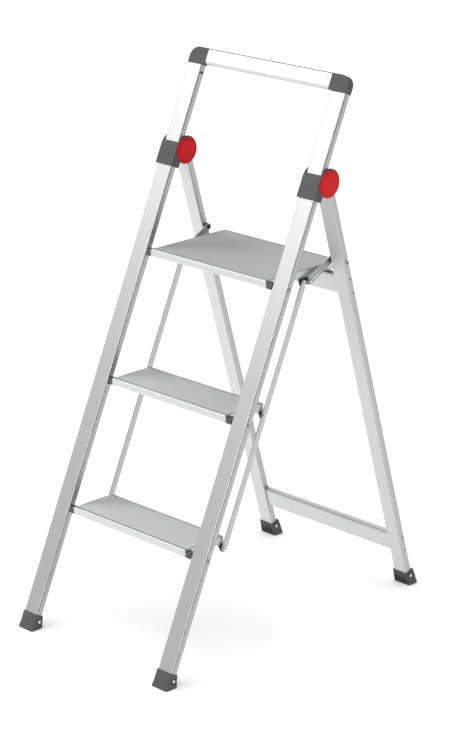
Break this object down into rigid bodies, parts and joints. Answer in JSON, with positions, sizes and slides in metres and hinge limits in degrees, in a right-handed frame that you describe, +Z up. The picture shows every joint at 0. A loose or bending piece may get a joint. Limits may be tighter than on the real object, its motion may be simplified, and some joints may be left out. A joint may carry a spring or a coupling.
{
  "type": "step_stool",
  "caption": "Folding aluminium step stool with two treads, a deep top platform and a hand rail; grey corners and shoes, red hinge discs.",
  "frame": {"origin": "centre of the open stool's bounding box, on the floor under its four shoes", "axes": "+Z up, +X across the stool to the right of a climber's view from the climbing side, -Y toward the climber"},
  "size_m": [0.4344, 0.7274, 1.104],
  "materials": {
    "frame_aluminium": "satin anodised",
    "tread_aluminium": "ribbed, mill finish",
    "link_aluminium": "satin",
    "steel": "zinc plated",
    "grey_plastic": "moulded, fine grain",
    "black_plastic": "moulded",
    "shoe_rubber": "matte",
    "red_plastic": "gloss"
  },
  "bodies": {
    "front_frame": {"top_rail": "frame_aluminium", "front_stile_left": "frame_aluminium", "front_stile_right": "frame_aluminium", "top_corner_left": "grey_plastic", "top_corner_right": "grey_plastic", "top_corner_screw_left": "steel", "top_corner_screw_right": "steel", "hinge_collar_left": "grey_plastic", "hinge_collar_right": "grey_plastic", "hinge_pin_left": "steel", "hinge_pin_right": "steel", "hinge_cap_left_outer": "red_plastic", "hinge_cap_left_inner": "red_plastic", "hinge_cap_right_outer": "red_plastic", "hinge_cap_right_inner": "red_plastic", "front_foot_left": "shoe_rubber", "front_foot_right": "shoe_rubber"},
    "rear_frame": {"rear_stile_left": "frame_aluminium", "rear_stile_right": "frame_aluminium", "rear_knuckle_left": "grey_plastic", "rear_knuckle_right": "grey_plastic", "upper_crossbar": "frame_aluminium", "lower_crossbar": "frame_aluminium", "rear_foot_left": "shoe_rubber", "rear_foot_right": "shoe_rubber", "fold_arm_rivet_left": "steel", "fold_arm_rivet_right": "steel"},
    "platform_body": {"platform": "tread_aluminium", "platform_end_plate_left": "link_aluminium", "platform_end_plate_right": "link_aluminium", "platform_pivot_cap_left": "grey_plastic", "platform_pivot_cap_right": "grey_plastic", "platform_pivot_pin_left": "steel", "platform_pivot_pin_right": "steel", "platform_link_block_left": "black_plastic", "platform_link_block_right": "black_plastic", "platform_rod_pin_left": "steel", "platform_rod_pin_right": "steel"},
    "middle_tread_body": {"middle_tread": "tread_aluminium", "middle_tread_end_plate_left": "link_aluminium", "middle_tread_end_plate_right": "link_aluminium", "middle_tread_pivot_cap_left": "grey_plastic", "middle_tread_pivot_cap_right": "grey_plastic", "middle_tread_pivot_pin_left": "steel", "middle_tread_pivot_pin_right": "steel", "middle_tread_rod_pin_left": "black_plastic", "middle_tread_rod_pin_right": "black_plastic"},
    "bottom_tread_body": {"bottom_tread": "tread_aluminium", "bottom_tread_end_plate_left": "link_aluminium", "bottom_tread_end_plate_right": "link_aluminium", "bottom_tread_pivot_cap_left": "grey_plastic", "bottom_tread_pivot_cap_right": "grey_plastic", "bottom_tread_pivot_pin_left": "steel", "bottom_tread_pivot_pin_right": "steel", "bottom_tread_rod_pin_left": "black_plastic", "bottom_tread_rod_pin_right": "black_plastic"},
    "push_rod_left_body": {"push_rod_left": "link_aluminium"},
    "fold_arm_left_body": {"fold_arm_left": "link_aluminium"},
    "push_rod_right_body": {"push_rod_right": "link_aluminium"},
    "fold_arm_right_body": {"fold_arm_right": "link_aluminium"}
  },
  "joints": [
    {"name": "rear_frame_fold", "type": "hinge", "parent": "front_frame", "child": "rear_frame", "pos_m": [0, 0.07263, 0.90744], "axis": [-1, 0, 0], "range_deg": [0, 40.5]},
    {"name": "platform_fold", "type": "hinge", "parent": "front_frame", "child": "platform_body", "pos_m": [0, -0.03151, 0.71872], "axis": [1, 0, 0], "range_deg": [0, 65.9]},
    {"name": "middle_tread_fold", "type": "hinge", "parent": "front_frame", "child": "middle_tread_body", "pos_m": [0, -0.14033, 0.47545], "axis": [1, 0, 0], "range_deg": [0, 65.9]},
    {"name": "bottom_tread_fold", "type": "hinge", "parent": "front_frame", "child": "bottom_tread_body", "pos_m": [0, -0.24915, 0.23217], "axis": [1, 0, 0], "range_deg": [0, 65.9]},
    {"name": "push_rod_left_pivot", "type": "hinge", "parent": "platform_body", "child": "push_rod_left_body", "pos_m": [0, 0.05949, 0.70392], "axis": [-1, 0, 0], "range_deg": [0, 65.9]},
    {"name": "fold_arm_left_pivot", "type": "hinge", "parent": "rear_frame", "child": "fold_arm_left_body", "pos_m": [0, 0.13102, 0.73845], "axis": [-1, 0, 0], "range_deg": [0, 92.16]},
    {"name": "push_rod_right_pivot", "type": "hinge", "parent": "platform_body", "child": "push_rod_right_body", "pos_m": [0, 0.05949, 0.70392], "axis": [-1, 0, 0], "range_deg": [0, 65.9]},
    {"name": "fold_arm_right_pivot", "type": "hinge", "parent": "rear_frame", "child": "fold_arm_right_body", "pos_m": [0, 0.13102, 0.73845], "axis": [-1, 0, 0], "range_deg": [0, 92.16]}
  ],
  "couplings": [
    {"joint": "platform_fold", "follows": "rear_frame_fold", "ratio": 1.6272},
    {"joint": "middle_tread_fold", "follows": "rear_frame_fold", "ratio": 1.6272},
    {"joint": "bottom_tread_fold", "follows": "rear_frame_fold", "ratio": 1.6272},
    {"joint": "push_rod_left_pivot", "follows": "rear_frame_fold", "ratio": 1.6272},
    {"joint": "fold_arm_left_pivot", "follows": "rear_frame_fold", "ratio": 2.2754},
    {"joint": "push_rod_right_pivot", "follows": "rear_frame_fold", "ratio": 1.6272},
    {"joint": "fold_arm_right_pivot", "follows": "rear_frame_fold", "ratio": 2.2754}
  ]
}
